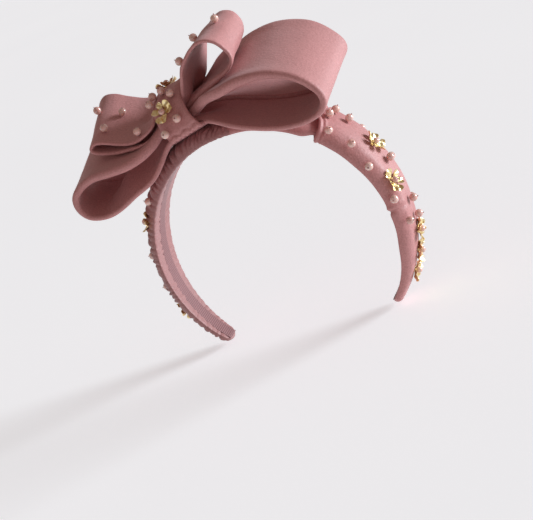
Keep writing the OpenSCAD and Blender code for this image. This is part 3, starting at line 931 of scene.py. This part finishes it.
def make_padding():
    """Foam between the core and the covers, cut at the two flex lines."""
    for node, start, end, circle, body in (
            ("foam_crown", RIGHT_FLEX, LEFT_FLEX, PAD_LOW, "crown"),
            ("foam_right", RIGHT_TIP, RIGHT_FLEX - WRAP_IN_CUFF - 1.0, PAD_RIGHT, "arm_right"),
            ("foam_left", LEFT_FLEX + PAD_GAP, LEFT_TIP, PAD_LOW, "arm_left")):
        angles = np.linspace(start, end, 60)
        grid = band_rings(angles, circle, 40, PAD_IN + 1.6, grow=-2.0, width_extra=-2.0)
        foam = tube("pad_" + node, grid)
        finish_piece(foam, MAT["foam"], body, [node])


# ---------------------------------------------------------------- knot

KNOT_UP = np.array([math.cos(math.radians(KNOT_AT)), 0, math.sin(math.radians(KNOT_AT))])
KNOT_ALONG = np.array([math.sin(math.radians(KNOT_AT)), 0, -math.cos(math.radians(KNOT_AT))])
FORWARDS = np.array([0.0, -1.0, 0.0])
# The strip's edges: angles down from its top, positive in front, and places along the bow.
KNOT_LEFT = ((-90, 0, 15, 40, 65, 90), (-14, -12, -11, -13, -11.5, -9))
KNOT_RIGHT = ((-90, -20, 0, 40, 65, 90), (12, 10, 8, 8, 9.5, 13.5))


def knot_path(radius, floor_height, steps=220, soft=5):
    """Closed path of the strip, as (forwards, up) pairs: an arch with a flat floor."""
    end = math.acos((floor_height - KNOT_CENTRE) / radius)
    arc = np.linspace(-end, end, 400)
    arch = np.stack([radius * np.sin(arc), KNOT_CENTRE + radius * np.cos(arc)], 1)
    under = np.stack([np.linspace(arch[-1, 0], arch[0, 0], 130),
                      np.full(130, floor_height)], 1)[1:-1]
    path = np.concatenate([arch, under, arch[:1]])
    run = np.concatenate([[0], np.linalg.norm(np.diff(path, axis=0), axis=1).cumsum()])
    at = np.linspace(0, run[-1], steps, endpoint=False)
    path = np.stack([np.interp(at, run, path[:, k]) for k in (0, 1)], 1)
    for _ in range(soft):
        path = (np.roll(path, 1, 0) + 2 * path + np.roll(path, -1, 0)) / 4
    return path


def path_normals(path):
    along = np.roll(path, -1, 0) - np.roll(path, 1, 0)
    return unit(np.stack([-along[:, 1], along[:, 0]], 1))


def from_knot(pairs, u):
    return pairs[..., :1] * FORWARDS + pairs[..., 1:] * KNOT_UP + u[..., None] * KNOT_ALONG


def make_knot_strip():
    """The folded strip round the bow's middle; u is a place along the bow."""
    path = knot_path(KNOT_R - 1.5, KNOT_FLOOR + 0.9)
    normal = path_normals(path)
    share = edge_spaced(40, KNOT_W, 2.6)
    down = np.degrees(np.arctan2(path[:, 0], np.maximum(path[:, 1] - KNOT_CENTRE, 0.01)))
    left = np.interp(down, *KNOT_LEFT)
    right = np.interp(down, *KNOT_RIGHT)
    u = left[:, None] + share[None] * (right - left)[:, None]
    d = np.minimum(share, 1 - share)[None] * (right - left)[:, None]
    arch = np.clip((path[:, 1] - KNOT_FLOOR - 2) / 8, 0, 1)[:, None]
    edge = 1.1
    round_off = np.sqrt(np.clip(1 - (1 - np.minimum(d / edge, 1)) ** 2, 0, 1))
    dome = 0.5 * (1 - (2 * share[None] - 1) ** 4) * arch
    at = np.stack([np.repeat(down[:, None] * 0.5, len(share), 1), u * 1.5, u * 0], -1)
    creases = (0.5 * np.cos(2 * math.pi * u / 8.5 + 1.6 * wobble(at, 22.0, 2))
               * wobble(at, 30.0, 5) + 0.35 * wobble(at, 9.0, 7)) * arch
    lower = bump_at(down[:, None], 86, 7)
    hem = 0.45 * np.cos(2 * math.pi * (u + 0.1 * down[:, None]) / 3.3) * lower
    hem = hem - 0.7 * bump_at(down[:, None] + 1.2 * np.sin(u * 0.8), 80, 1.6)
    surface = from_knot(path[:, None] + 0 * u[..., None], u)
    trims = trim_centres("pearls_knot", "flower_pearls_knot")
    dent = dimples(surface, trims, 0.5, 2.6, flat=2.5, most=1.2)
    outer = edge * round_off + dome + (creases + hem + dent) * (d > 0.8)
    inner = -0.9 * round_off
    top = path[:, None] + normal[:, None] * outer[..., None]
    low = path[:, None] + normal[:, None] * inner[..., None]
    grid = np.concatenate([from_knot(top, u), from_knot(low, u)[:, -2:0:-1]], axis=1)
    strip = tube("knot_wrap", grid, along=np.arange(len(path)) * 0.72, closed=True)
    finish_piece(strip, MAT["rose"], "crown", ["knot_strip"])


def make_knot_padding():
    """Wadding that fills out the knot between the loops."""
    rings = []
    for share in np.linspace(-1, 1, 15):
        shrink = math.sqrt(max(1 - abs(share) ** 3, 0.02))
        path = knot_path(KNOT_R - 3.0, KNOT_FLOOR + 2.0, 90, 12)
        mid = path.mean(0)
        pairs = mid + (path - mid) * (0.5 + 0.5 * shrink)
        rings.append(from_knot(pairs, np.full(len(pairs), -0.7 + 2.8 * share)))
    wad = tube("knot_wadding", np.array(rings))
    finish_piece(wad, MAT["foam"], "crown", ["knot_padding"])


# ---------------------------------------------------------------- pearls and flowers

def pearl_shape(centre, axis, radius, seed):
    """A drilled pearl with softly worn hole edges, very slightly out of round."""
    rnd = random.Random(seed)
    hole = 0.45
    start = math.asin(hole / radius) + 0.08
    th = np.linspace(start, math.pi - start, 22)
    profile = [(radius * math.sin(a), radius * math.cos(a)) for a in th]
    for sign in (-1, 1):
        lip = [(hole + 0.04, sign * radius * 0.975), (hole, sign * radius * 0.93)]
        profile += lip if sign < 0 else lip[::-1]
    profile = np.array(profile)
    around = 36
    turn = np.linspace(0, 2 * math.pi, around, endpoint=False)
    rows = basis(axis, rnd.uniform(0, 6.28))
    grow = np.array([rnd.uniform(0.97, 1.02), rnd.uniform(0.97, 1.02), rnd.uniform(0.96, 1.0)])
    local = np.stack([profile[:, :1] * np.cos(turn), profile[:, :1] * np.sin(turn),
                      np.repeat(profile[:, 1:], around, 1)], -1) * grow
    faces = tube_faces(len(profile), around, closed=True)
    return local.reshape(-1, 3) @ rows + centre, faces


def make_pearls(node, body, guides, seeds, sink=0.0):
    """One object for a group of pearls, each on the nearest guide: a place and a hole's axis."""
    parts = []
    for i, points in enumerate(islands(node)):
        centre = middle(points)
        axis = min(guides, key=lambda g: np.linalg.norm(g[0] - centre))[1]
        radius = (points.max(0) - points.min(0)).max() / 2
        parts.append(pearl_shape(centre - axis * sink, axis, radius, seeds[0] * i + seeds[1]))
    finish_piece(join(node + "_drilled", parts), MAT["pearl"], body, [node])


PETAL_REACH = 7.0


def petal_outline(angle):
    """Distance from a flower's middle to its edge: two round lobes with a notch between."""
    lobe, place = 2.25, math.radians(25)
    best = np.zeros_like(angle)
    for s in (-1, 1):
        off = angle - s * place
        inside = np.clip(lobe ** 2 - ((PETAL_REACH - lobe) * np.sin(off)) ** 2, 0, None)
        far = (PETAL_REACH - lobe) * np.cos(off) + np.sqrt(inside)
        best = np.maximum(best, np.where(inside > 0, far, 0))
    return np.maximum(best, 2.4)


def petal_shape(turn, rise, seed):
    """One cupped, hammered, two-lobed petal as (points, faces); rise is its height at the edge."""
    spread = np.linspace(-1, 1, 45) * math.radians(51)
    share = np.linspace(0, 1, 19)
    edge = petal_outline(spread)
    r = 0.9 + share[:, None] * (edge[None] - 0.9)
    a = spread[None] * (0.5 + 0.5 * smoothstep(0.5, 4.0, r))
    rnd = random.Random(seed)
    across = r * np.sin(a)
    cup = rise * (r / PETAL_REACH) ** 1.5 + 0.10 * across ** 2
    lobes = 0.35 * np.cos(across * 2.1) * smoothstep(2.5, 5.5, r)
    crease = -0.5 * bump_at(spread[None], 0, 0.10) * share[:, None]
    curl = -rnd.uniform(0.1, 0.6) * smoothstep(0.72, 1.0, share)[:, None]
    twist = rnd.uniform(-0.16, 0.16) * across
    x, y = r * np.cos(a + turn), r * np.sin(a + turn)
    dents = 0.13 * wobble(np.stack([x, y, np.full_like(x, seed * 1.7)], -1), 1.5, seed)
    z = 0.7 + cup - lobes + crease + curl + twist + dents
    top = np.stack([x, y, z], -1)
    normal = surface_normals(top)
    normal *= np.sign(normal[..., 2:])
    thick = 0.2 * np.sqrt(np.clip(1 - np.maximum(share[:, None] * 1.02 - 0.9, 0) ** 2 * 60, 0.1, 1))
    grid = np.concatenate([top + normal * thick[..., None],
                           (top - normal * thick[..., None])[:, ::-1]], axis=1)
    rings, around = grid.shape[:2]
    faces = tube_faces(rings, around, cap_start=False, cap_end=False)
    for start in (0, (rings - 1) * around):
        faces += [(start + j, start + j + 1, start + around - 2 - j, start + around - 1 - j)
                  for j in range(around // 2 - 1)]
    return grid.reshape(-1, 3), faces


def cup_shape():
    """The small beaded cup under a flower's pearl."""
    around = 30
    turn = np.linspace(0, 2 * math.pi, around, endpoint=False)
    profile = np.array([(0.5, 0.25), (1.7, 0.25), (1.95, 0.55), (1.75, 1.0), (1.9, 1.35),
                        (1.75, 1.5), (1.45, 1.25), (1.1, 1.0), (0.5, 0.95)])
    bead = 1 + 0.05 * np.cos(10 * turn)[None] * (profile[:, 1:] > 0.9)
    ring = np.stack([profile[:, :1] * np.cos(turn) * bead, profile[:, :1] * np.sin(turn) * bead,
                     np.repeat(profile[:, 1:], around, 1)], -1)
    return ring.reshape(-1, 3), tube_faces(len(profile), around, closed=True)


def make_flower(node, body, centre_of_curve, spin, seed, sink):
    """A three-petalled flower, sink millimetres nearer the fabric than its CAD solid."""
    points = islands(node)[0]
    middle_point = middle(points)
    normal = axis_of(points, THINNEST)
    if np.dot(normal, middle_point - centre_of_curve) < 0:
        normal = -normal
    foot = middle_point - normal * (0.5 + sink)
    rows = basis(normal, spin)
    rnd = random.Random(seed)
    parts = [petal_shape(i * 2 * math.pi / 3 + rnd.uniform(-0.08, 0.08), rnd.uniform(1.2, 2.4),
                         seed + i) for i in range(3)] + [cup_shape()]
    placed = [(pts @ rows + foot, faces) for pts, faces in parts]
    flower = join(node + "_petals", placed)
    flower.data.set_sharp_from_angle(angle=math.radians(55))
    finish_piece(flower, MAT["gilt"], body, [node])
    return foot, normal


def make_trims():
    """Flowers with their pearls, then the sewn pearls.

    Each group is its pearls, body, centre of curve, sink, and each flower's spin in radians.
    """
    groups = (
        ("flower_pearls_knot", "crown", KNOT_UP * KNOT_CENTRE, 0.2,
         {"flower_knot_front": 0.2, "flower_knot_top": 1.3}),
        ("flower_pearls_right_arm", "arm_right", np.zeros(3), 0.5,
         {"flower_right_1": 0.3, "flower_right_2": 1.5, "flower_right_3": 0.5,
          "flower_right_4": 1.2, "flower_right_5": 0.1}),
        ("flower_pearls_left_arm", "arm_left", np.zeros(3), 0.0,
         {"flower_left_1": 0.4, "flower_left_2": 1.3, "flower_left_3": 0.9}))
    for number, (pearls, body, origin, sink, spins) in enumerate(groups):
        feet = [make_flower(node, body, origin, spin, 11 * i + 5 * number, sink)
                for i, (node, spin) in enumerate(spins.items())]
        make_pearls(pearls, body, feet, (7, 3), sink)
    for node, threads, body in (
            ("pearls_knot", "threads_bow", "crown"),
            ("pearls_small_loop_right", "threads_bow", "crown"),
            ("pearls_small_loop_left", "threads_bow", "crown"),
            ("pearls_right_arm", "threads_right_arm", "arm_right"),
            ("pearls_left_arm", "threads_left_arm", "arm_left")):
        guides = [(middle(p), axis_of(p, LONGEST)) for p in islands(threads)]
        make_pearls(node, body, guides, (31, len(node)))


def dress_cad_nodes():
    """Procedural materials for the CAD nodes that keep their own shape."""
    keys = {"bow_base": "felt"}
    keys.update({"core_" + place: "core" for place in ("crown", "right", "left")})
    keys.update({"threads_" + place: "thread" for place in ("bow", "right_arm", "left_arm")})
    for node, key in keys.items():
        data = frame["nodes"][node].data
        data.materials.clear()
        data.materials.append(MAT[key])


# ---------------------------------------------------------------- assembly

make_camera()
make_studio()
make_large_loop("large_loop_right", LARGE_RIGHT, 1, 1.0, 0.53, 1.5, 0.0)
make_large_loop("large_loop_left", LARGE_LEFT, -1, 2.0, 0.44, -0.4, 7.0)
make_small_loop("small_loop_right", SMALL_RIGHT, 1, 3.0)
make_small_loop("small_loop_left", SMALL_LEFT, -1, 4.0, dimple=3.2, slit_depth=4.6)
make_knot_strip()
make_knot_padding()
make_padding()
make_lining()
make_centre_wrap()
make_ruched_cover()
make_sleeve()
make_trims()
dress_cad_nodes()
